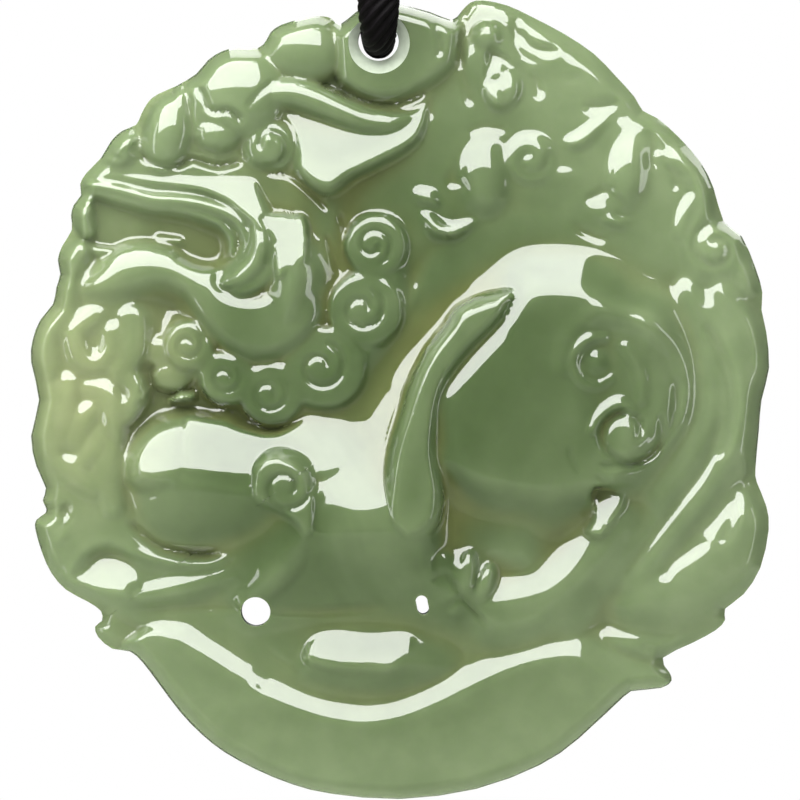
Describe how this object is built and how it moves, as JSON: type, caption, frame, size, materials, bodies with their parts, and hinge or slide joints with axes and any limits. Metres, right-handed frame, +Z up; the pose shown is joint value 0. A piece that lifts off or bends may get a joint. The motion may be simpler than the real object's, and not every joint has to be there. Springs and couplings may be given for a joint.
{
  "type": "jade pendant on a cord",
  "caption": "Round carved jade pendant with a bulging relief on its front and a plain domed back, hung from a short closed loop of black braided cord through a hole near its top.",
  "frame": {"origin": "inside of the cord loop's top bend, the point that the pendant hangs from", "axes": "+Z up along the hanging cord, -Y out of the carved front, +X to the right as seen from the front"},
  "size_m": [0.0554, 0.0147, 0.1033],
  "materials": {
    "jade": "polished, waxy, slightly translucent green stone",
    "cord": "black braided cord with a faint sheen"
  },
  "bodies": {
    "cord_loop": {"cord": "cord", "cord_knot": "cord"},
    "pendant": {"carved_jade": "jade"}
  },
  "joints": [
    {"name": "pendant_swing", "type": "hinge", "parent": "cord_loop", "child": "pendant", "pos_m": [0, 0, -0.044], "axis": [0, 1, 0], "range_deg": [-20, 20]}
  ]
}
